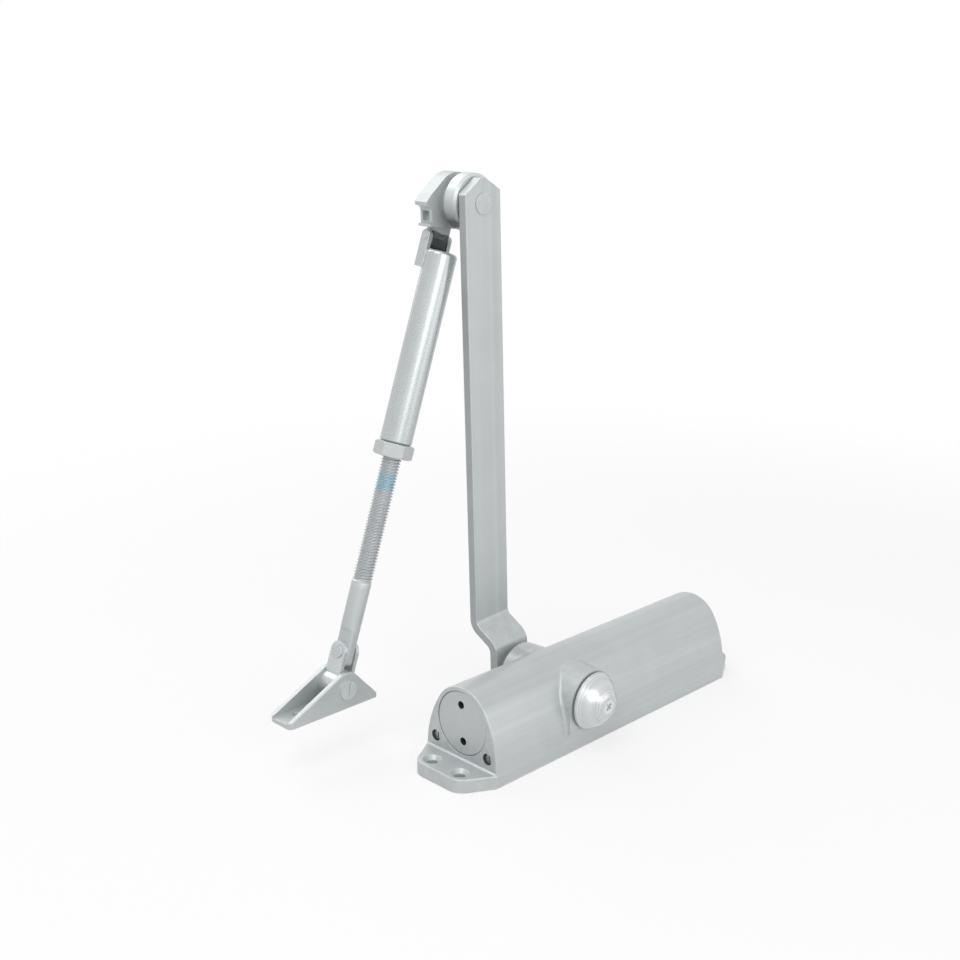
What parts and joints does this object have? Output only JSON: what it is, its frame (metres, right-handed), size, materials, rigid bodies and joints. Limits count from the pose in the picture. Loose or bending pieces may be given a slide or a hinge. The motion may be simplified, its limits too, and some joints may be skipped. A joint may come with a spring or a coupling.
{
  "type": "overhead door closer",
  "caption": "Overhead hydraulic door closer with a rack-and-pinion body, a joggled main arm and an adjustable forearm that ends in a channel shoe.",
  "frame": {"origin": "centre of the four fixing holes, on the mounting face of the body", "axes": "+X along the body towards the spring end, +Y along the pinion towards the arm side, +Z away from the door leaf"},
  "size_m": [0.2667, 0.1074, 0.2809],
  "materials": {
    "silver_paint": "smooth silver-grey powder coat on steel, semi-gloss",
    "cast_aluminium": "die-cast aluminium under the same silver-grey powder coat",
    "turned_aluminium": "turned, fine rings",
    "zinc_steel": "bright zinc plate",
    "plain_steel": "ground and oiled",
    "bearing_bronze": "plain bearing bronze",
    "seal_rubber": "black nitrile"
  },
  "bodies": {
    "housing": {"housing": "cast_aluminium", "valve_end_plug": "cast_aluminium", "spring_end_plug": "cast_aluminium", "plug_seals": "seal_rubber", "pinion_bearings": "bearing_bronze", "pinion_seals": "seal_rubber", "gland_nut_cap": "zinc_steel", "gland_nut_arm": "zinc_steel", "spring_seat": "zinc_steel", "closing_spring": "plain_steel"},
    "main_lever": {"pinion": "plain_steel", "pinion_cap": "turned_aluminium", "cap_screw": "zinc_steel", "main_arm": "silver_paint", "arm_washer": "zinc_steel", "arm_screw": "zinc_steel", "elbow_pin": "silver_paint", "elbow_washer": "zinc_steel", "elbow_disc": "silver_paint"},
    "piston": {"piston": "plain_steel", "check_clip": "plain_steel"},
    "check_ball": {"check_ball": "plain_steel"},
    "speed_valve": {"speed_valve": "zinc_steel", "speed_valve_seal": "seal_rubber"},
    "latch_valve": {"latch_valve": "zinc_steel", "latch_valve_seal": "seal_rubber"},
    "elbow": {"elbow_knuckle": "silver_paint"},
    "forearm": {"forearm_tube": "silver_paint", "fork_pin": "silver_paint"},
    "lock_nut": {"lock_nut": "silver_paint"},
    "rod": {"adjusting_rod": "silver_paint"},
    "swivel": {"swivel": "silver_paint", "rod_rivet": "silver_paint"},
    "shoe": {"shoe": "silver_paint", "shoe_screw": "zinc_steel"}
  },
  "joints": [
    {"name": "main_pivot", "type": "hinge", "parent": "housing", "child": "main_lever", "pos_m": [-0.0265, 0, 0.0259], "axis": [0, -1, 0], "range_deg": [0, 175], "stiffness_Nm_per_rad": 2, "springref_deg": -69.9},
    {"name": "piston_slide", "type": "slide", "parent": "housing", "child": "piston", "axis": [1, 0, 0], "range_m": [0, 0.0255], "deforming": ["closing_spring"]},
    {"name": "check_ball_lift", "type": "slide", "parent": "piston", "child": "check_ball", "axis": [-1, 0, 0], "range_m": [0, 0.0008]},
    {"name": "speed_valve_turn", "type": "hinge", "parent": "housing", "child": "speed_valve", "pos_m": [-0.0925, 0.0175, 0.0133], "axis": [1, 0, 0], "range_deg": [-360, 360]},
    {"name": "latch_valve_turn", "type": "hinge", "parent": "housing", "child": "latch_valve", "pos_m": [-0.0925, -0.0175, 0.0133], "axis": [1, 0, 0], "range_deg": [-360, 360]},
    {"name": "elbow_pivot", "type": "hinge", "parent": "main_lever", "child": "elbow", "pos_m": [-0.04124, 0.062, 0.26695], "axis": [0, 1, 0], "range_deg": [-5, 150]},
    {"name": "fork_tilt", "type": "hinge", "parent": "elbow", "child": "forearm", "pos_m": [-0.05013, 0.0647, 0.24893], "axis": [0.9489, 0, -0.3156], "range_deg": [-2.5, 15]},
    {"name": "lock_nut_turn", "type": "hinge", "parent": "forearm", "child": "lock_nut", "pos_m": [-0.08265, 0.059, 0.1512], "axis": [0.3156, 0, 0.9489], "continuous": true},
    {"name": "rod_adjust", "type": "slide", "parent": "forearm", "child": "rod", "axis": [-0.3156, 0, -0.9489], "range_m": [-0.03, 0.02]},
    {"name": "rivet_tilt", "type": "hinge", "parent": "rod", "child": "swivel", "pos_m": [-0.11573, 0.059, 0.05176], "axis": [0.9489, 0, -0.3156], "range_deg": [-15, 15]},
    {"name": "shoe_pivot", "type": "hinge", "parent": "swivel", "child": "shoe", "pos_m": [-0.12116, 0.059, 0.03544], "axis": [0, 1, 0], "range_deg": [-50, 65]}
  ],
  "couplings": [
    {"joint": "piston_slide", "follows": "main_pivot", "m_per_rad": 0.00825}
  ]
}
